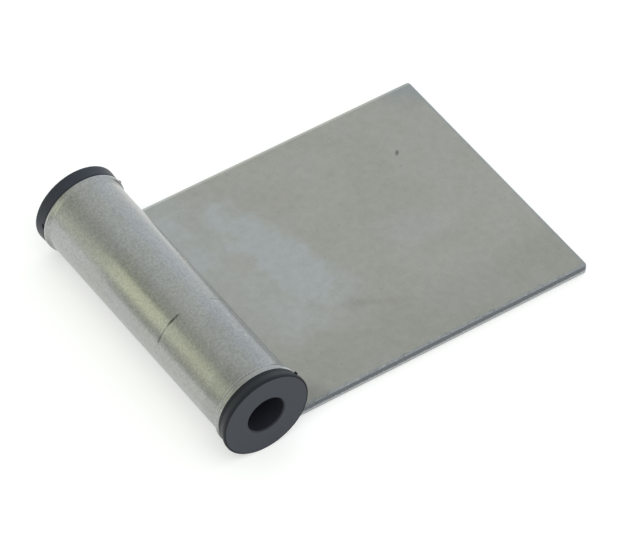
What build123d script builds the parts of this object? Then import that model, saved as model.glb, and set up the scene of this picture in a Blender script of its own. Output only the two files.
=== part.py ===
from build123d import *
import math
import os

# Half of a weld-on barrel hinge. A steel barrel tube is welded along one side of a flat
# steel leaf, and a flanged plastic bush is pressed into each end of the barrel.
# Millimetres. The origin is on the pin axis at the middle of the barrel. +Y runs along the
# pin axis towards the far bush, +X out along the leaf and +Z up.

# Barrel tube
TUBE_RADIUS = 13.55        # outside of a 27.1 mm tube
TUBE_WALL = 3.2
TUBE_LENGTH = 93.5
LIP_RISE = 0.85            # how far the upset lip stands out at each mouth
NEAR_LIP_RAMP = 2.0        # length over which the near mouth's lip rises
FAR_LIP_RAMP = 1.4         # the same at the far mouth, upset more sharply
LIP_LAND = 0.8             # length of the lip at full height
LIP_EDGE = 0.35            # chamfer of the lip's outer edge
MOUTH_EDGE = 0.3           # chamfer of the mouth's inner edge

# Leaf
LEAF_THICKNESS = 3.4
LEAF_REACH = 121.5         # pin axis to the leaf's far edge
LEAF_CORNER = 0.9          # rounding of the leaf's two outer corners
LEAF_EDGE = 0.2            # break along the leaf's sheared edges

# Flanged bushes
PIN_BORE_RADIUS = 6.35     # running bore for a half-inch pin
FLANGE_THICKNESS = 4.3
FLANGE_SETBACK = 0.1       # the flange's rim is this much inside the tube's lip
FLANGE_SEAT_EDGE = 0.4     # chamfer of the flange's rim against the tube
FLANGE_LAND = 1.4          # length of plain rim next to the tube
FACE_LAND = 0.9            # length of rim at the face's full radius
FLANGE_EDGE = 0.25         # chamfer of the face's outer edge
NEAR_SPREAD = 0.65         # how far the near bush's face is spread past its rim
FAR_SPREAD = 0.1           # the same on the far bush, pressed in more gently
SPIGOT_LENGTH = 16.0       # part of the bush inside the tube
SPIGOT_LEAD = 1.5          # length of the taper at the spigot's inner end
SPIGOT_TAPER = 0.5         # how much the taper takes off the spigot's radius
BORE_EDGE = 0.35           # chamfer of the bore's edge at the face
BORE_LEAD = 0.6            # chamfer of the bore's edge at the spigot's end
GATE_RADIUS = 0.55         # stub left on the rim by the moulding gate
GATE_HEIGHT = 0.85
GATE_ROOT = 1.0            # depth of the stub's root in the flange
NEAR_GATE_ANGLE = 38.0     # from +X towards +Z, as each bush was turned when pressed in
FAR_GATE_ANGLE = 11.0
NOTCH_LENGTH = 2.3         # wedge-shaped assembly notch in the rim's seat edge
NOTCH_WIDTH = 1.4
NOTCH_DEPTH = 0.5
NOTCH_TURN = 160.0         # from the gate round to the notch

# Welds
WELD_MARGIN = 5.0          # from the lip's ramp to the end of each bead
WELD_END = 2.5             # rounding of the beads' ends, seen from above
CORNER_LEG = 4.6           # width of the corner bead on the leaf
CORNER_CLIMB = 22.0        # degrees of barrel that the corner bead climbs
CORNER_CROWN = 0.6         # bulge of the corner bead's face
CORNER_ROOT = 0.9          # how deep the corner bead sinks in the root gap
UNDERSIDE_ROOT = 1.7       # how deep the underside bead sinks in the groove
UNDERSIDE_SPREAD = 2.4     # width of tube that the underside bead covers past its root

# Places that follow from the sizes
tube_end = TUBE_LENGTH / 2
tube_bore_radius = TUBE_RADIUS - TUBE_WALL
lip_radius = TUBE_RADIUS + LIP_RISE
lip_length = NEAR_LIP_RAMP + LIP_LAND
flange_radius = lip_radius - FLANGE_SETBACK
face_end = tube_end + FLANGE_THICKNESS
# Barrel and leaf lie on one flat table while they are welded, so the leaf's underside is
# level with the lowest line of the lips, and its square edge is pushed in against them.
leaf_bottom = -lip_radius
leaf_top = leaf_bottom + LEAF_THICKNESS
leaf_edge = math.sqrt(lip_radius**2 - leaf_top**2)
weld_length = TUBE_LENGTH - 2 * (lip_length + WELD_MARGIN)
# Direction of the pin axis in a turned profile, which is drawn as radius and place
along = (0, 1)


def turned(*lines):
    """Solid turned about the pin axis. The lines close a profile of radius and place."""
    return revolve(make_face(Curve() + lines), Axis.Y)


def end_rims(body, place):
    """Circular edges of a turned body at one place on the pin axis, smallest first."""
    circles = body.edges().filter_by(GeomType.CIRCLE)
    return circles.filter_by(lambda rim: abs(rim.center().Y - place) < 1e-4).sort_by(
        SortBy.RADIUS
    )


def on_tube(height):
    """Point of the tube's outside, on the leaf's side, at a height over the pin axis."""
    return math.sqrt(TUBE_RADIUS**2 - height**2), height


def half_tube(ramp_length):
    """The tube's +Y half. Its lip has an S-shaped ramp, a land and a broken edge."""
    ramp_start = (TUBE_RADIUS, tube_end - LIP_LAND - ramp_length)
    ramp_top = (lip_radius, tube_end - LIP_LAND)
    ramp = Spline(ramp_start, ramp_top, tangents=(along, along))
    rest = Polyline(
        ramp_top,
        (lip_radius, tube_end),
        (tube_bore_radius, tube_end),
        (tube_bore_radius, 0),
        (TUBE_RADIUS, 0),
        ramp_start,
    )
    half = turned(ramp, rest)
    half = chamfer(end_rims(half, tube_end)[-1], LIP_EDGE)
    return chamfer(end_rims(half, tube_end)[0], MOUTH_EDGE)


def barrel_tube():
    """Tube with an upset lip at each mouth."""
    return half_tube(FAR_LIP_RAMP) + mirror(half_tube(NEAR_LIP_RAMP), about=Plane.XZ)


def leaf_plate():
    """Flat leaf with a square inner edge, two rounded outer corners and broken edges."""
    plate = Pos(leaf_edge, 0, leaf_bottom) * Box(
        LEAF_REACH - leaf_edge,
        TUBE_LENGTH,
        LEAF_THICKNESS,
        align=(Align.MIN, Align.CENTER, Align.MIN),
    )
    corners = plate.edges().filter_by(Axis.Z).sort_by(Axis.X)[-2:]
    plate = fillet(corners, LEAF_CORNER)
    faces = plate.faces().sort_by(Axis.Z)
    rims = faces[0].edges() + faces[-1].edges()
    return chamfer(rims.filter_by(lambda rim: rim.center().X > leaf_edge + LEAF_CORNER), LEAF_EDGE)


def on_rim(feature, angle):
    """Feature made at the top of a bush's rim, turned round to its angle."""
    return Rot(0, 90 - angle, 0) * feature


def bush(spread, gate_angle, notch_angle):
    """Flanged bush for the +Y end: a rim that spreads towards its face, and a spigot."""
    face_radius = flange_radius + spread
    spigot_end = tube_end - SPIGOT_LENGTH
    outline = Polyline(
        (flange_radius - FLANGE_SEAT_EDGE, tube_end),
        (flange_radius, tube_end + FLANGE_SEAT_EDGE),
        (flange_radius, tube_end + FLANGE_LAND),
        (face_radius, face_end - FACE_LAND),
        (face_radius, face_end),
        (PIN_BORE_RADIUS, face_end),
        (PIN_BORE_RADIUS, spigot_end),
        (tube_bore_radius - SPIGOT_TAPER, spigot_end),
        (tube_bore_radius, spigot_end + SPIGOT_LEAD),
        (tube_bore_radius, tube_end),
        close=True,
    )
    body = turned(outline)
    body = chamfer(end_rims(body, face_end)[-1], FLANGE_EDGE)
    body = chamfer(end_rims(body, face_end)[0], BORE_EDGE)
    body = chamfer(end_rims(body, spigot_end)[0], BORE_LEAD)
    stub = Cylinder(
        GATE_RADIUS, GATE_ROOT + GATE_HEIGHT, align=(Align.CENTER, Align.CENTER, Align.MIN)
    )
    stub = Pos(0, tube_end + FLANGE_THICKNESS / 2, flange_radius - GATE_ROOT) * stub
    wedge = make_face(Polyline((0, 0), (0, NOTCH_WIDTH), (-NOTCH_LENGTH, 0), close=True))
    notch = Pos(0, tube_end, flange_radius - NOTCH_DEPTH) * extrude(wedge, 2 * NOTCH_DEPTH)
    return body + on_rim(stub, gate_angle) - on_rim(notch, notch_angle)


def bead(section, plan):
    """Weld bead: a section along the pin axis, with its ends rounded as the plan is."""
    return extrude(section, weld_length, both=True) & plan


def bead_plan(inner, outer, rounded):
    """Tall block over a bead, with its two corners on the rounded side cut to a radius."""
    block = Pos((inner + outer) / 2, 0, 0) * Box(
        outer - inner, weld_length, 2 * lip_radius
    )
    corners = block.edges().filter_by(Axis.Z).group_by(Axis.X)[rounded]
    return fillet(corners, WELD_END)


def corner_weld():
    """Bead in the inner corner, from the leaf's top face up the side of the tube."""
    root = leaf_top - CORNER_ROOT
    climb = math.degrees(math.asin(leaf_top / TUBE_RADIUS)) + CORNER_CLIMB
    tube_toe = on_tube(TUBE_RADIUS * math.sin(math.radians(climb)))
    leaf_toe = (leaf_edge + CORNER_LEG, leaf_top)
    sides = Polyline(on_tube(root), (leaf_edge, root), (leaf_edge, leaf_top), leaf_toe)
    crown = SagittaArc(leaf_toe, tube_toe, -CORNER_CROWN)
    seat = RadiusArc(tube_toe, on_tube(root), TUBE_RADIUS)
    section = Plane.XZ * make_face(Curve() + (sides, crown, seat))
    return bead(section, bead_plan(0, leaf_toe[0], -1))


def underside_weld():
    """Bead in the groove between the leaf's square edge and the underside of the tube."""
    root = on_tube(leaf_bottom + UNDERSIDE_ROOT)
    toe_x = root[0] - UNDERSIDE_SPREAD
    tube_toe = (toe_x, -math.sqrt(TUBE_RADIUS**2 - toe_x**2))
    leaf_toe = (leaf_edge, leaf_bottom)
    sides = Polyline(root, (leaf_edge, root[1]), leaf_toe)
    face = TangentArc(leaf_toe, tube_toe, tangent=(-1, 0))
    seat = RadiusArc(tube_toe, root, -TUBE_RADIUS)
    section = Plane.XZ * make_face(Curve() + (sides, face, seat))
    return bead(section, bead_plan(toe_x, leaf_edge, 0))


def main():
    near_bush = bush(NEAR_SPREAD, NEAR_GATE_ANGLE, NEAR_GATE_ANGLE - NOTCH_TURN)
    parts = {
        "barrel_tube": barrel_tube(),
        "leaf_plate": leaf_plate(),
        "corner_weld": corner_weld(),
        "underside_weld": underside_weld(),
        "near_bush": mirror(near_bush, about=Plane.XZ),
        "far_bush": bush(FAR_SPREAD, FAR_GATE_ANGLE, FAR_GATE_ANGLE + NOTCH_TURN),
    }
    os.makedirs("parts", exist_ok=True)
    for name, solid in parts.items():
        export_step(solid, f"parts/{name}.step")


if __name__ == "__main__":
    main()
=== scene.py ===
"""Looks of half a weld-on barrel hinge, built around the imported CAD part.

Metres, in the part's own frame: +Y along the pin axis, +X out along the leaf, +Z up.
The tube, the leaf and the two bushes are the CAD solids with detailed materials. The two
weld beads are rippled meshes that stand for their CAD solids.
"""
import math
import bpy
from mathutils import Matrix, Vector, noise


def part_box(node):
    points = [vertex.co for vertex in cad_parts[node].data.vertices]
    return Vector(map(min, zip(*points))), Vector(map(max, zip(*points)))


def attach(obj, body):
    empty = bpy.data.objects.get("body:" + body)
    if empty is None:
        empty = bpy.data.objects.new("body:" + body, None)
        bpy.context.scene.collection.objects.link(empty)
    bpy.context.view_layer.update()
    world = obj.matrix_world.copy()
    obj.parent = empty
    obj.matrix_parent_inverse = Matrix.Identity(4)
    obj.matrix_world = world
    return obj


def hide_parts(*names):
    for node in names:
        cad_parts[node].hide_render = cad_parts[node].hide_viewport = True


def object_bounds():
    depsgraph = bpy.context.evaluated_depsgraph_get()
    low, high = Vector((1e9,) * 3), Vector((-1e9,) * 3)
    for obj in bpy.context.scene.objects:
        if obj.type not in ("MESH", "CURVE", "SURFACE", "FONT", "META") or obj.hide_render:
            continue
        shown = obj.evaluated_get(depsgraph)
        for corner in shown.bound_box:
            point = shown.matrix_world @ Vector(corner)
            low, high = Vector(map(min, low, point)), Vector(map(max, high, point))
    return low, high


MM = 0.001

# Camera, as the part is seen from above its near end
CAMERA_AZIMUTH = -36.62
CAMERA_ELEVATION = 47.09
CAMERA_ROLL = 2.42
CAMERA_DISTANCE = 1.629
CAMERA_LENS = 310.4          # mm, on a 36 mm wide sensor
CAMERA_TARGET = (44.96 * MM, -11.36 * MM, 0.0)

# Tube, as in the CAD
TUBE_RADIUS = 13.55 * MM
BORE_RADIUS = 6.35           # mm, of the bushes

# Marks, painted shade and a painted highlight on the tube, in degrees about the axis and mm along
# it
SCRIBE_PLACE = -13.1
SCRIBE_ARC = (114, 164)
SCRIBE_REST_ARC = (33, 69)   # where the scribed line shows again, fainter
SCRIBE_THICK_ARCS = ((117, 132, 9), (152, 163, 8))    # start, end and softness
DARK_PATCH_CENTRE = (76, -31)
DARK_PATCH_RADII = (26, 17)
SCUFF_CENTRE = (63, -25)
SCUFF_RADII = (5, 12)
# Painted highlight, where the tube reflects the leaf
GLINT_CENTRE = (39, 7)
GLINT_RADII = (8, 12)
# Painted shade: dark rings where the mouths begin to flare
MOUTH_SHADE_RINGS = ((-45.0, -44.7), (-43.6, -43.4), (44.0, 44.3))
TUBE_WARM = (0.376, 0.378, 0.362)
TUBE_COOL = (0.370, 0.378, 0.376)

# Marks on the leaf, in mm: centre, radii, turn in degrees, softness and strength
COOL_CLOUDS = (
    ((46, 4), (8, 28), 14, 0.45, 0.75),
    ((37, 6), (15, 38), 8, 0.5, 0.45),
)
COOL_PATCHES = (
    ((88, -5), (12, 6), -20, 0.6, 0.3),
    ((21, 32), (7, 20), 0, 0.6, 0.7),
    ((32, -16), (10, 9), 0, 0.6, 0.35),
)
SMUDGES = (
    ((53, -21), (4.5, 3.0), -15, 0.6, 1.0),
    ((61, -25), (8, 1.2), -28, 0.7, 0.6),
)
PIT_CENTRE = (100.5, 23.5)
PIT_RADII = (1.1, 0.5)
SCRATCH_PLACE = (-20.2, -19.9)
SCRATCH_REACH = (36, 104)
LEAF_WARM = ((0.390, 0.381, 0.350), (0.402, 0.395, 0.366))
LEAF_COOL = (0.432, 0.450, 0.450)
CORNER_COLOUR = (0.330, 0.348, 0.350)
SMUDGE_COLOUR = (0.330, 0.322, 0.290)
BROKEN_EDGE = (0.352, 0.376, 0.392)
BURNISHED_EDGE = (0.40, 0.41, 0.42)
TORN_EDGE = (0.165, 0.176, 0.192)
TORN_HEIGHTS = (1.85, 2.35)  # mm over the underside, where the sheared edge turns torn

# Welds
HEAT_REACH = 38.0            # mm from the middle of the barrel to where the tint fades
HEAT_BLUE = (0.20, 0.21, 0.27)
HEAT_STRAW = (0.36, 0.31, 0.22)
WELD_STRAW = (0.30, 0.29, 0.26)
WELD_BLUE = (0.25, 0.27, 0.31)
BEAD_PITCH = 1.7 * MM        # from ripple to ripple
BEAD_RIPPLE = 0.16 * MM      # height of a ripple
BEAD_BOW = 1.5               # how far a ripple bows along the bead, in pitches
BEAD_STEP = 0.17 * MM        # length of a mesh row
BEAD_COLUMNS = 22
BEAD_END = 2.5 * MM          # length over which an end rounds off
BEAD_SINK = 0.03 * MM        # how deep the toes lie in the metal
BEAD_SWAY = 0.10             # how much a toe wanders, as a share of the bead's width
CORNER_CROWN = 0.6 * MM
UNDERSIDE_CROWN = 0.27 * MM

# Bushes: both are one moulding, and their rim colours differ as painted light, the far rim lighter
RIM_LIGHT_COLOURS = {"near_bush": (0.006, 0.009, 0.015), "far_bush": (0.024, 0.029, 0.042)}
FACE_COLOUR = (0.049, 0.056, 0.071)
# Painted light in the bore
BORE_LIGHT_COLOUR = (0.026, 0.027, 0.038)
# Painted shade along the edge of the face
EDGE_SHADE_COLOUR = (0.002, 0.003, 0.004)
PLASTIC_GLOSS = 0.3
EDGE_SHADE_GLOSS = 0.02

# Studio
FLOOR_RADIUS = 0.20
FLOOR_SIDES = 128
FLOOR_COLOUR = (0.72, 0.72, 0.72)
FLOOR_LIFT = 0.46            # light that the floor adds to its own, where it is looked at
KEY_PLACE = (-0.5, -0.9, 1.3)
KEY_AIM = (0.05, 0, 0)
KEY_SIZE = 1.6
KEY_ENERGY = 6.0
KEY_COLOUR = (1.0, 0.99, 0.97)
END_LIGHT = (0.80, 0.81, 0.80)    # of the sky beyond the ends of the barrel
# Light of the sky by the angle about the pin axis, in degrees from +X up over +Z to -X
SKY = (
    (-90, (0.80, 0.80, 0.80)),
    (-20, (0.88, 0.90, 0.92)),
    (0, (0.97, 1.02, 1.07)),
    (16, (0.95, 1.00, 1.05)),
    (39, (0.88, 0.93, 0.97)),
    (60, (0.84, 0.88, 0.87)),
    (87, (0.78, 0.82, 0.79)),
    (103, (0.69, 0.71, 0.67)),
    (119, (0.58, 0.61, 0.55)),
    (130, (0.57, 0.60, 0.53)),
    (143, (0.65, 0.68, 0.59)),
    (155, (0.77, 0.81, 0.68)),
    (175, (0.88, 0.92, 0.78)),
    (195, (0.85, 0.87, 0.83)),
    (212, (0.84, 0.86, 0.85)),
    (225, (0.86, 0.87, 0.87)),
    (270, (0.80, 0.80, 0.80)),
)
# Two cards low beside the tube, by the same angle: a warm glow over a dim foot
CARD_DISTANCE = 60 * MM
CARD_STEPS = 24
NEAR_CARD_REACH = (-15 * MM, 19 * MM)
NEAR_CARD = (
    (130.0, (0.66, 0.69, 0.60)),
    (140.4, (0.84, 0.88, 0.70)),
    (154.8, (1.03, 1.06, 0.82)),
    (162.0, (0.99, 1.02, 0.81)),
    (169.0, (0.84, 0.87, 0.72)),
    (176.0, (0.66, 0.68, 0.60)),
    (186.0, (0.62, 0.64, 0.59)),
    (194.0, (0.66, 0.68, 0.64)),
    (206.0, (0.76, 0.78, 0.76)),
    (216.0, (0.88, 0.89, 0.88)),
)
MID_CARD_REACH = (19 * MM, 49 * MM)
MID_CARD = (
    (131.0, (0.42, 0.44, 0.36)),
    (136.0, (0.50, 0.52, 0.42)),
    (139.0, (1.10, 1.13, 0.87)),
    (164.0, (1.16, 1.20, 0.92)),
    (170.0, (0.92, 0.95, 0.78)),
    (176.0, (0.64, 0.66, 0.58)),
    (186.0, (0.62, 0.64, 0.59)),
    (194.0, (0.67, 0.69, 0.65)),
    (206.0, (0.76, 0.78, 0.76)),
    (216.0, (0.88, 0.89, 0.88)),
)

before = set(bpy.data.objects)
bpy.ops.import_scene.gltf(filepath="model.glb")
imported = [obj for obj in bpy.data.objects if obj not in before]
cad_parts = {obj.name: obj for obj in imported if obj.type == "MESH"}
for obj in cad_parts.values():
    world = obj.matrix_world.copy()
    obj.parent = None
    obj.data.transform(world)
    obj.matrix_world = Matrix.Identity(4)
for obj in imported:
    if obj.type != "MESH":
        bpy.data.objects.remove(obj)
cad_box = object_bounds()


class Graph:
    """A node tree under construction. Every input takes a socket or a plain value."""

    def __init__(self, tree):
        self.tree = tree
        tree.nodes.clear()

    def node(self, kind, inputs=(), **settings):
        made = self.tree.nodes.new(kind)
        for name, value in settings.items():
            setattr(made, name, value)
        for name, value in dict(inputs).items():
            self.feed(made.inputs[name], value)
        return made

    def feed(self, socket, value):
        if isinstance(value, bpy.types.NodeSocket):
            self.tree.links.new(value, socket)
        elif socket.type == "RGBA":
            socket.default_value = (*value, 1.0)
        else:
            socket.default_value = value

    def output(self, shader, kind="ShaderNodeOutputMaterial"):
        """Joins the finished shader to the tree's output."""
        self.feed(self.node(kind).inputs["Surface"], shader.outputs[0])

    def math(self, operation, a, b=0.0):
        return self.node("ShaderNodeMath", {0: a, 1: b}, operation=operation).outputs[0]

    def add(self, first, *rest):
        for term in rest:
            first = self.math("ADD", first, term)
        return first

    def times(self, first, *rest):
        for factor in rest:
            first = self.math("MULTIPLY", first, factor)
        return first

    def step(self, value, start, end, low=0.0, high=1.0):
        """Smooth change from low to high while value goes from start to end, both numbers."""
        if start > end:
            start, end, low, high = end, start, high, low
        inputs = {
            "Value": value,
            "From Min": start,
            "From Max": end,
            "To Min": low,
            "To Max": high,
        }
        return self.node("ShaderNodeMapRange", inputs, interpolation_type="SMOOTHSTEP").outputs[0]

    def gain(self, mask, factor):
        """Factor that is 1 where the mask is 0, and the given one where it is 1."""
        return self.step(mask, 0, 1, 1, factor)

    def band(self, value, start, end, soft):
        """1 between start and end, with soft sides."""
        rise = self.step(value, start - soft / 2, start + soft / 2)
        fall = self.step(value, end - soft / 2, end + soft / 2, 1.0, 0.0)
        return self.times(rise, fall)

    def split(self, vector):
        return self.node("ShaderNodeSeparateXYZ", {0: vector}).outputs[:]

    def stretched(self, vector, factors):
        inputs = {0: vector, 1: factors}
        return self.node("ShaderNodeVectorMath", inputs, operation="MULTIPLY").outputs[0]

    def noise(self, vector, size, detail=2.0, roughness=0.5, distortion=0.0):
        """Noise from 0 to 1 whose features are about size wide, in the vector's unit."""
        inputs = {
            "Vector": vector,
            "Scale": 1.0 / size,
            "Detail": detail,
            "Roughness": roughness,
            "Distortion": distortion,
        }
        return self.node("ShaderNodeTexNoise", inputs).outputs[0]

    def mix(self, factor, a, b):
        made = self.node("ShaderNodeMix", {0: factor, 6: a, 7: b}, data_type="RGBA")
        return made.outputs[2]

    def scaled(self, colour, factor):
        """Colour made lighter or darker."""
        made = self.node("ShaderNodeVectorMath", {"Scale": factor}, operation="SCALE")
        self.feed(made.inputs[0], colour)
        return made.outputs[0]

    def spot(self, x, y, centre, radii, turn, edge, rough=0.0):
        """Oval mark on a flat face: 1 inside, 0 outside, with an edge as a share of its size."""
        c, s = math.cos(math.radians(turn)), math.sin(math.radians(turn))
        dx = self.math("SUBTRACT", x, centre[0])
        dy = self.math("SUBTRACT", y, centre[1])
        u = self.times(self.add(self.times(dx, c), self.times(dy, s)), 1 / radii[0])
        v = self.times(self.add(self.times(dx, -s), self.times(dy, c)), 1 / radii[1])
        away = self.math("SQRT", self.add(self.times(u, u), self.times(v, v)))
        away = self.add(away, rough)
        return self.step(away, 1.0 + edge, 1.0 - edge)

    def spots(self, x, y, marks, rough):
        """Sum of oval marks, each given by its centre, radii, turn, edge and strength."""
        terms = [
            self.times(self.spot(x, y, centre, radii, turn, edge, rough), strength)
            for centre, radii, turn, edge, strength in marks
        ]
        return self.add(*terms)


def bare_material(name):
    """A material and its empty graph."""
    material = bpy.data.materials.new(name)
    material.use_nodes = True
    return material, Graph(material.node_tree)


def new_material(name, **settings):
    """A material, its graph, its shader and the place on the part in mm."""
    material, g = bare_material(name)
    surface = g.node("ShaderNodeBsdfPrincipled", settings)
    g.output(surface)
    place = g.node("ShaderNodeTexCoord").outputs["Object"]
    place = g.stretched(place, (1 / MM, 1 / MM, 1 / MM))
    return material, g, surface, place


def finish_surface(g, surface, colour, roughness, height, depth):
    """Joins colour, roughness and a height from 0 to 1, of a depth in mm, to the shader."""
    bump = g.node("ShaderNodeBump", {"Height": height, "Strength": 1.0, "Distance": depth * MM})
    g.feed(surface.inputs["Base Color"], colour)
    g.feed(surface.inputs["Roughness"], roughness)
    g.feed(surface.inputs["Normal"], bump.outputs[0])


def weld_heat(g, place, reach):
    """Heat tint beside the welds. reach goes from 1 at a bead to 0 where the tint ends."""
    along = g.band(g.split(place)[1], -HEAT_REACH, HEAT_REACH, 9)
    wander = g.add(g.noise(place, 9, 3, 0.6), g.noise(place, 2.5, 2, 0.6))
    return g.times(along, reach, g.add(0.15, g.times(wander, 0.55)))


def barrel_steel():
    """Bare drawn tube: satin, with a coarse mottled grain and a part-way scribed line."""
    material, g, surface, place = new_material("barrel_steel", Metallic=1.0)
    x, y, z = g.split(place)
    angle = g.math("DEGREES", g.math("ARCTAN2", z, x))
    turn = g.add(g.math("MODULO", g.add(angle, 450), 360), -90)    # from -90 round to 270
    grain = g.step(g.noise(g.stretched(place, (1, 0.7, 1)), 0.6, 2, 0.6), 0.28, 0.72)
    mottle = g.noise(g.stretched(place, (1, 0.6, 1)), 1.9, 3, 0.6)
    cloud = g.noise(place, 14, 2, 0.5)
    specks = g.step(g.noise(place, 0.7, 1, 0.5), 0.72, 0.80)

    # The scribed line, ragged and thicker near its ends
    thick = g.add(*(g.band(angle, *arc) for arc in SCRIBE_THICK_ARCS))
    drift = g.math("ABSOLUTE", g.math("SUBTRACT", y, SCRIBE_PLACE))
    line = g.step(g.math("SUBTRACT", drift, g.times(thick, 0.14)), 0.34, 0.10)
    rest = g.times(g.band(angle, *SCRIBE_REST_ARC, 8), 0.8)
    depth = g.add(g.band(angle, *SCRIBE_ARC, 10), rest)
    depth = g.times(depth, g.step(mottle, 0.35, 0.55, 0.5, 1.0))
    depth = g.times(depth, g.add(0.65, g.times(g.band(angle, 114, 132, 8), 0.35)))
    scribe = g.times(line, depth)

    # A darker patch, a scuffed patch, painted shade in rings where the mouths flare and over the
    # near end and the low side, and a painted reflection of the leaf
    warp = g.times(g.math("SUBTRACT", g.noise(place, 8, 3, 0.6), 0.5), 1.4)
    dark_patch = g.spot(angle, y, DARK_PATCH_CENTRE, DARK_PATCH_RADII, 0, 0.4, warp)
    nicks = g.step(g.noise(g.stretched(place, (1, 0.35, 1)), 0.8, 2, 0.6), 0.54, 0.64)
    nicks = g.times(nicks, g.spot(angle, y, SCUFF_CENTRE, SCUFF_RADII, 0, 0.5, warp))
    mouth_shade = g.add(*(g.band(y, *reach, 0.3) for reach in MOUTH_SHADE_RINGS))
    mouth_shade = g.times(mouth_shade, g.step(mottle, 0.35, 0.6))
    # Painted shade over the near end and along the low side
    near_end_shade = g.times(g.step(y, -36, -40), g.step(turn, 92, 112))
    low_side_shade = g.step(turn, 182, 202)
    # Painted reflection: lighter where the tube faces the leaf, with a painted glint
    painted_leaf_reflection = g.times(g.band(turn, 36, 50, 10), g.step(y, 26, 10))
    painted_leaf_reflection = g.add(painted_leaf_reflection, g.times(g.spot(turn, y, GLINT_CENTRE, GLINT_RADII, 0, 0.6), 0.9))

    shade = g.add(0.76, g.times(grain, 0.25), g.times(mottle, 0.18), g.times(cloud, 0.06))
    shade = g.times(shade, g.gain(mouth_shade, 0.80), g.gain(near_end_shade, 0.90))
    shade = g.times(shade, g.gain(low_side_shade, 0.85), g.add(1, g.times(painted_leaf_reflection, 0.36)))
    shade = g.times(shade, g.gain(g.times(low_side_shade, near_end_shade), 0.8))
    shade = g.times(shade, g.gain(specks, 0.80), g.gain(scribe, 0.30))
    shade = g.times(shade, g.gain(dark_patch, 0.92), g.gain(nicks, 1.45))
    steel = g.mix(g.step(cloud, 0.35, 0.65), TUBE_WARM, TUBE_COOL)
    roughness = g.add(0.20, g.times(mottle, 0.06), g.times(grain, 0.04), g.times(nicks, 0.1))
    beside = g.times(g.step(angle, -8, -30), g.step(angle, -114, -90))
    steel = g.mix(weld_heat(g, place, beside), g.scaled(steel, shade), HEAT_BLUE)
    height = g.add(g.times(grain, 0.12), g.times(mottle, 0.5), g.times(scribe, -2.0))
    finish_surface(g, surface, steel, roughness, height, 0.007)
    return material


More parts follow.
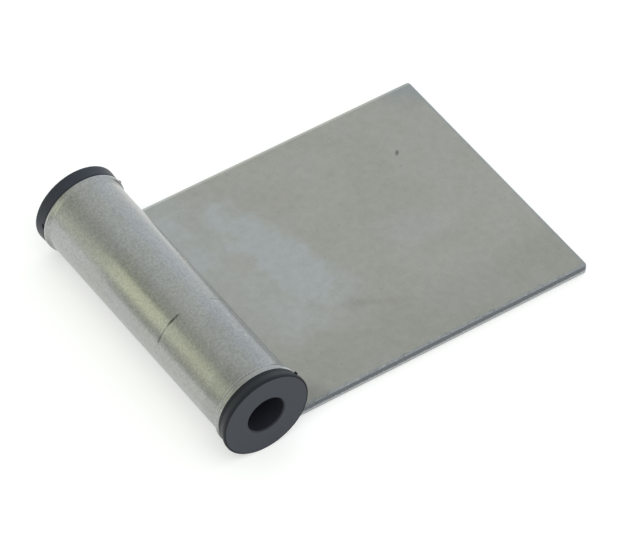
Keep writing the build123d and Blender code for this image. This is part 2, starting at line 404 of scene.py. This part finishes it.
def leaf_steel():
    """Bare rolled plate: warm grey with cool clouds, a few marks, painted shade by the near bush,
    a painted highlight on the far edge, and sheared edges.
    """
    material, g, surface, place = new_material("leaf_steel", Metallic=1.0)
    x, y, z = g.split(place)
    low, high = (Vector(corner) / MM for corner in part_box("leaf_plate"))
    grain = g.noise(place, 0.5, 3, 0.6)
    mottle = g.noise(place, 2.6, 3, 0.6)
    cloud = g.noise(place, 20, 3, 0.55, 0.6)
    warp = g.times(g.math("SUBTRACT", g.noise(place, 11, 3, 0.6), 0.5), 1.6)
    specks = g.step(g.noise(place, 1.1, 1, 0.5), 0.72, 0.78)

    # Warm plate under cool clouds
    warm = g.mix(g.step(cloud, 0.4, 0.62), *LEAF_WARM)
    cool = g.spots(x, y, COOL_CLOUDS, warp)
    brown = g.spot(x, y, (34, 11), (5, 4), 0, 0.5, warp)
    cool = g.times(cool, g.gain(brown, 0.3), g.step(y, -27, -19))
    cool = g.times(cool, g.step(mottle, 0.25, 0.65, 0.85, 1.1))
    cool = g.math("MINIMUM", g.add(cool, g.spots(x, y, COOL_PATCHES, warp)), 1.0)
    colour = g.mix(g.times(cool, 0.9), warm, LEAF_COOL)
    corner = g.spot(x, y, (high.x, high.y), (15, 9), -35, 0.5, warp)
    colour = g.mix(g.times(corner, 0.85), colour, CORNER_COLOUR)
    smudge = g.spots(x, y, SMUDGES, warp)
    colour = g.mix(g.times(smudge, 0.6), colour, SMUDGE_COLOUR)

    # Light and dark: grain, painted shade over the near side and beside the near bush, a pit and a
    # scratch
    near_side_shade = g.step(y, -16, -40)
    bush_shade = g.spot(x, y, (17, -45), (9, 7), 0, 0.6)
    shade = g.add(0.72, g.times(grain, 0.28), g.times(mottle, 0.24), g.times(cloud, 0.04))
    shade = g.times(shade, g.gain(near_side_shade, 0.92), g.gain(specks, 0.8))
    shade = g.times(shade, g.gain(bush_shade, 0.78))
    pit = g.spot(x, y, PIT_CENTRE, PIT_RADII, 50, 0.7, g.times(warp, 0.3))
    shade = g.times(shade, g.gain(pit, 0.5))
    scratch = g.times(g.band(y, *SCRATCH_PLACE, 0.2), g.band(x, *SCRATCH_REACH, 12))
    shade = g.add(shade, g.times(scratch, g.step(mottle, 0.45, 0.6), 0.06))

    # A cool, mottled band along the broken edges
    inset = g.math("MINIMUM", g.math("SUBTRACT", high.x, x), g.math("SUBTRACT", y, low.y))
    rim = g.step(g.add(inset, g.times(mottle, 1.4)), 2.0, 1.1)
    colour = g.mix(g.times(rim, 0.8), colour, BROKEN_EDGE)

    # Painted highlight along the far edge, where its chamfer catches the light, and heat tint
    # beside the welds
    far_edge_highlight = g.band(y, high.y - 0.9, high.y - 0.2, 0.3)
    colour = g.scaled(colour, g.gain(far_edge_highlight, 1.38))
    beside = weld_heat(g, place, g.step(x, 19.5, 11.0))
    straw = g.mix(g.step(beside, 0.0, 0.6), colour, HEAT_STRAW)
    colour = g.mix(g.step(beside, 0.3, 1.0), straw, HEAT_BLUE)

    # Torn flecks, pale and dark, along the top of the near edge
    flecks = g.noise(g.stretched(place, (0.5, 1, 1)), 0.6, 3, 0.7)
    ragged = g.add(g.math("SUBTRACT", y, low.y), g.times(g.noise(place, 6, 2, 0.6), -1.2))
    torn_edge = g.step(ragged, 0.9, 0.0)
    colour = g.scaled(colour, g.add(1, g.times(torn_edge, g.step(flecks, 0.58, 0.70), 0.35)))
    colour = g.scaled(colour, g.add(1, g.times(torn_edge, g.step(flecks, 0.50, 0.36), -0.25)))

    # Sheared edges: a smooth burnished band below, a dark torn band above
    normal = g.node("ShaderNodeNewGeometry").outputs["True Normal"]
    side = g.step(g.math("ABSOLUTE", g.split(normal)[2]), 0.5, 0.2)
    torn = g.noise(g.stretched(place, (1, 1, 0.35)), 0.8, 4, 0.65)
    fracture = g.step(g.add(z, g.times(torn, 1.5)), *(low.z + h for h in TORN_HEIGHTS))
    edge_colour = g.mix(fracture, BURNISHED_EDGE, TORN_EDGE)
    edge_shade = g.add(0.78, g.times(torn, 0.44))
    colour = g.mix(side, g.scaled(colour, shade), g.scaled(edge_colour, edge_shade))

    roughness = g.add(0.36, g.times(mottle, 0.08), g.times(side, fracture, 0.18))
    height = g.add(g.times(grain, 0.6), g.times(mottle, 0.5), g.times(pit, -3.0))
    height = g.add(height, g.times(side, fracture, torn, 8.0))
    finish_surface(g, surface, colour, roughness, height, 0.006)
    return material


def weld_metal():
    """As-laid weld bead: dull, with a straw and blue tint that changes along it."""
    material, g, surface, place = new_material("weld_metal", Metallic=1.0)
    grain = g.noise(place, 0.35, 3, 0.6)
    tint = g.noise(g.stretched(place, (1, 0.5, 1)), 5, 3, 0.6)
    colour = g.mix(g.step(tint, 0.4, 0.6), WELD_STRAW, WELD_BLUE)
    spatter = g.step(g.noise(place, 0.8, 1, 0.5), 0.66, 0.72)
    shade = g.add(0.75, g.times(grain, 0.5), g.times(spatter, -0.3))
    roughness = g.add(0.34, g.times(tint, 0.14))
    finish_surface(g, surface, g.scaled(colour, shade), roughness, grain, 0.02)
    return material


def bush_plastic(node):
    """Black moulded plastic: a lighter blue-grey thrust face, painted shade in a dark line at its
    edge, and painted light in the bore.
    """
    material, g, surface, place = new_material("bush_plastic_" + node, Metallic=0.0)
    x, y, z = g.split(place)
    low, high = (Vector(corner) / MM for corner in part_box(node))
    away = g.math("SQRT", g.add(g.times(x, x), g.times(z, z)))
    face_end = max(high.y, -low.y)
    normal = g.node("ShaderNodeNewGeometry").outputs["True Normal"]
    facing = g.step(g.math("ABSOLUTE", g.split(normal)[1]), 0.93, 0.99)
    outer = g.step(g.math("ABSOLUTE", y), face_end - 0.2, face_end - 0.1)
    inside = g.step(away, high.z - 0.42, high.z - 0.58)
    lighter_face = g.times(facing, outer, inside)
    bore = g.step(away, BORE_RADIUS + 0.6, BORE_RADIUS + 0.1)
    grain = g.noise(place, 0.4, 3, 0.6)
    scuff = g.noise(g.stretched(place, (1, 1, 0.3)), 3.0, 4, 0.65)
    face = g.scaled(FACE_COLOUR, g.add(0.86, g.times(scuff, 0.2), g.times(grain, 0.08)))
    rim = g.scaled(RIM_LIGHT_COLOURS[node], g.add(0.7, g.times(scuff, 0.45), g.times(grain, 0.3)))
    # Painted light: the bore is given a lighter colour than the rim
    body = g.mix(bore, rim, BORE_LIGHT_COLOUR)
    colour = g.mix(lighter_face, body, face)
    # Painted shade: a dark, less glossy line along the edge of the face
    edge_line = g.band(away, high.z - 0.6, high.z - 0.2, 0.25)
    edge_line = g.times(edge_line, facing, outer, g.add(0.35, g.times(scuff, 0.7)))
    colour = g.mix(edge_line, colour, EDGE_SHADE_COLOUR)
    gloss = g.step(edge_line, 0, 1, PLASTIC_GLOSS, EDGE_SHADE_GLOSS)
    g.feed(surface.inputs["Specular IOR Level"], gloss)
    roughness = g.add(0.42, g.times(lighter_face, 0.16), g.times(scuff, 0.08))
    height = g.add(grain, g.times(scuff, 0.5))
    finish_surface(g, surface, colour, roughness, height, 0.004)
    return material


def floor_material():
    """Pale floor that is white where it is looked at, and keeps the part's shadow."""
    material, g = bare_material("floor")
    rays = g.node("ShaderNodeLightPath").outputs
    seen = g.math("MAXIMUM", rays["Is Camera Ray"], rays["Is Glossy Ray"])
    seen = g.math("MAXIMUM", seen, rays["Is Transmission Ray"])
    matt = g.node("ShaderNodeBsdfDiffuse", {"Color": FLOOR_COLOUR})
    strength = g.times(seen, FLOOR_LIFT)
    lift = g.node("ShaderNodeEmission", {"Color": (1, 1, 1), "Strength": strength})
    both = g.node("ShaderNodeAddShader", {0: matt.outputs[0], 1: lift.outputs[0]})
    g.output(both)
    return material


def angle_ramp(g, vector, stops):
    """Colour by the angle about the pin axis, from straight down over +X, +Z and -X."""
    x, _, z = g.split(vector)
    about = g.math("ARCTAN2", g.times(x, -1.0), z)
    turn = g.add(g.times(about, 1 / (2 * math.pi)), 0.5)
    ramp = g.node("ShaderNodeValToRGB", {0: turn})
    elements = ramp.color_ramp.elements
    while len(elements) < len(stops):
        elements.new(0.5)
    for element, (angle, colour) in zip(elements, stops):
        element.position = (angle + 90) / 360
        element.color = (*colour, 1.0)
    return ramp.outputs[0]


def glow_material(name, stops):
    """Light of a card, which changes with the angle about the pin axis."""
    material, g = bare_material(name)
    place = g.node("ShaderNodeTexCoord").outputs["Object"]
    light = g.node("ShaderNodeEmission", {"Color": angle_ramp(g, place, stops), "Strength": 1.0})
    g.output(light)
    return material


def new_piece(name, points, faces):
    mesh = bpy.data.meshes.new(name)
    mesh.from_pydata([tuple(p) for p in points], [], faces)
    mesh.update()
    piece = bpy.data.objects.new(name, mesh)
    bpy.context.scene.collection.objects.link(piece)
    return piece


def ripple(y, across):
    """Height of a bead's ripples, from 0 to 1: scallops that bow along the bead."""
    phase = y / BEAD_PITCH + BEAD_BOW * (1 - across**2)
    phase += 0.35 * noise.noise(Vector((y / BEAD_PITCH / 2.5, 7.0, 0.0)))
    turn = (phase % 1.0) ** 0.75
    return (0.5 - 0.5 * math.cos(2 * math.pi * turn)) * (1 - across**4)


def make_bead(name, node, leaf_root, leaf_toe, tube_root, tube_toe, back, crown, lift):
    """Rippled weld bead over a CAD bead's length, between the leaf and the tube.

    Each row of points is a closed ring: the crown from toe to toe, and then the back, which
    lies inside the joint. Places on the leaf are (x, z), and those on the tube are angles.
    lift is how far the ripples stand over the crown at most.
    """
    low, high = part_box(node)
    rows = round((high.y - low.y) / BEAD_STEP)
    points, faces = [], []
    for i in range(rows + 1):
        y = low.y + (high.y - low.y) * i / rows
        end = min(1.0, min(y - low.y, high.y - y) / BEAD_END)
        share = 0.3 + 0.7 * math.sqrt(1 - (1 - end) ** 2)
        sway = [BEAD_SWAY * noise.noise(Vector((y / BEAD_PITCH / 1.7, k, 0.0))) for k in (1, 4)]
        leaf = Vector(leaf_root).lerp(Vector(leaf_toe), share * (1 + sway[0]))
        angle = tube_root + (tube_toe - tube_root) * share * (1 + sway[1])
        tube = Vector((math.cos(angle), math.sin(angle))) * (TUBE_RADIUS - BEAD_SINK)
        leaf += (Vector(back[-1]) - leaf).normalized() * BEAD_SINK
        chord = tube - leaf
        out = Vector((chord.y, -chord.x)).normalized()
        if out.dot(Vector(back[0]) - leaf) > 0:
            out = -out
        for c in range(BEAD_COLUMNS + 1):
            s = c / BEAD_COLUMNS
            rise = crown * share * 4 * s * (1 - s)
            rise += (ripple(y, 2 * s - 1) - 1) * BEAD_RIPPLE * share + lift
            p = leaf + chord * s + out * rise * min(1.0, 8 * s, 8 * (1 - s))
            points.append((p.x, y, p.y))
        points.extend((x, y, z) for x, z in back)
    ring = BEAD_COLUMNS + 1 + len(back)
    for i in range(rows):
        for c in range(ring):
            d = (c + 1) % ring
            faces.append((i * ring + c, i * ring + d, (i + 1) * ring + d, (i + 1) * ring + c))
    faces.append(tuple(range(ring - 1, -1, -1)))
    faces.append(tuple(range(rows * ring, (rows + 1) * ring)))
    bead = new_piece(name, points, faces)
    smooth = [p.normal.y ** 2 < 0.9 for p in bead.data.polygons]
    bead.data.polygons.foreach_set("use_smooth", smooth)
    bead.data.materials.append(weld_metal())
    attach(bead, "root")
    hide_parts(node)


def make_beads():
    """The two beads that join tube and leaf, one in the corner and one in the groove below."""
    leaf_low, leaf_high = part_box("leaf_plate")
    low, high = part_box("corner_weld")
    root_x = math.sqrt(TUBE_RADIUS**2 - low.z**2)
    make_bead(
        "corner_weld_bead",
        "corner_weld",
        (leaf_low.x, leaf_high.z),
        (high.x, leaf_high.z),
        math.asin(leaf_high.z / TUBE_RADIUS),
        math.asin(high.z / TUBE_RADIUS),
        ((root_x, low.z), (leaf_low.x, low.z)),
        CORNER_CROWN,
        BEAD_RIPPLE / 2,
    )
    low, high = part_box("underside_weld")
    root_x = math.sqrt(TUBE_RADIUS**2 - high.z**2)
    make_bead(
        "underside_weld_bead",
        "underside_weld",
        (leaf_low.x, leaf_low.z),
        (leaf_low.x, leaf_low.z),
        -math.acos(root_x / TUBE_RADIUS),
        -math.acos(low.x / TUBE_RADIUS),
        ((root_x, high.z), (leaf_low.x, high.z)),
        UNDERSIDE_CROWN,
        0.0,
    )


def make_floor():
    """Round floor that the part stands on."""
    low = cad_box[0]
    centre = [(a + b) / 2 for a, b in zip(*cad_box)]
    turns = [2 * math.pi * i / FLOOR_SIDES for i in range(FLOOR_SIDES)]
    rim = [
        (centre[0] + FLOOR_RADIUS * math.cos(t), centre[1] + FLOOR_RADIUS * math.sin(t), low[2])
        for t in turns
    ]
    floor = new_piece("floor", rim, [tuple(range(FLOOR_SIDES))])
    floor.data.materials.append(floor_material())


def make_card(name, reach, stops):
    """Card beside the part that only its gloss sees: a strip of a cylinder about the pin axis.

    Its light changes with the angle about the axis, and its stops give (angle, colour).
    """
    start, end = stops[0][0], stops[-1][0]
    points, faces = [], []
    for i in range(CARD_STEPS + 1):
        t = math.radians(start + (end - start) * i / CARD_STEPS)
        for y in reach:
            points.append((CARD_DISTANCE * math.cos(t), y, CARD_DISTANCE * math.sin(t)))
    for i in range(CARD_STEPS):
        faces.append((2 * i, 2 * i + 1, 2 * i + 3, 2 * i + 2))
    card = new_piece(name, points, faces)
    card.data.materials.append(glow_material(name, stops))
    card.visible_camera = False
    card.visible_diffuse = False
    card.visible_transmission = False
    card.visible_shadow = False


def make_world():
    """White to the camera. To the part it is soft light that changes about the pin axis."""
    world = bpy.data.worlds.new("studio")
    bpy.context.scene.world = world
    world.use_nodes = True
    g = Graph(world.node_tree)
    direction = g.node("ShaderNodeTexCoord").outputs["Generated"]
    y = g.split(direction)[1]
    end_on = g.step(g.math("ABSOLUTE", y), 0.75, 0.98)
    sky = g.mix(end_on, angle_ramp(g, direction, SKY), END_LIGHT)
    seen = g.node("ShaderNodeLightPath").outputs["Is Camera Ray"]
    light = g.mix(seen, sky, (1, 1, 1))
    background = g.node("ShaderNodeBackground", {"Color": light, "Strength": 1.0})
    g.output(background, "ShaderNodeOutputWorld")


def make_lamp(name, place, aim, size, energy, colour):
    data = bpy.data.lights.new(name, "AREA")
    data.shape = "DISK"
    data.size = size
    data.energy = energy
    data.color = colour
    lamp = bpy.data.objects.new(name, data)
    bpy.context.scene.collection.objects.link(lamp)
    lamp.location = place
    lamp.rotation_euler = (Vector(aim) - Vector(place)).to_track_quat("-Z", "Y").to_euler()
    lamp.visible_camera = False
    lamp.visible_glossy = False


def make_camera():
    a, e, r = (math.radians(v) for v in (CAMERA_AZIMUTH, CAMERA_ELEVATION, CAMERA_ROLL))
    back = Vector((math.sin(a) * math.cos(e), -math.cos(a) * math.cos(e), math.sin(e)))
    right = Vector((math.cos(a), math.sin(a), 0.0))
    up = back.cross(right)
    right, up = math.cos(r) * right + math.sin(r) * up, math.cos(r) * up - math.sin(r) * right
    data = bpy.data.cameras.new("camera")
    data.lens = CAMERA_LENS
    data.sensor_width = 36.0
    data.clip_end = 20.0
    camera = bpy.data.objects.new("camera", data)
    bpy.context.scene.collection.objects.link(camera)
    turn = Matrix((right, up, back)).transposed().to_4x4()
    camera.matrix_world = Matrix.Translation(Vector(CAMERA_TARGET) + CAMERA_DISTANCE * back) @ turn
    bpy.context.scene.camera = camera


def dress(node, material):
    """Gives one material to all of a CAD node's slots."""
    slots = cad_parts[node].data.materials
    if not slots:
        slots.append(material)
    for i in range(len(slots)):
        slots[i] = material


make_camera()
make_world()
make_floor()
make_card("near_card", NEAR_CARD_REACH, NEAR_CARD)
make_card("mid_card", MID_CARD_REACH, MID_CARD)
make_lamp("key", KEY_PLACE, KEY_AIM, KEY_SIZE, KEY_ENERGY, KEY_COLOUR)

dress("barrel_tube", barrel_steel())
dress("leaf_plate", leaf_steel())
dress("near_bush", bush_plastic("near_bush"))
dress("far_bush", bush_plastic("far_bush"))
make_beads()

bpy.context.scene.view_settings.view_transform = "Standard"
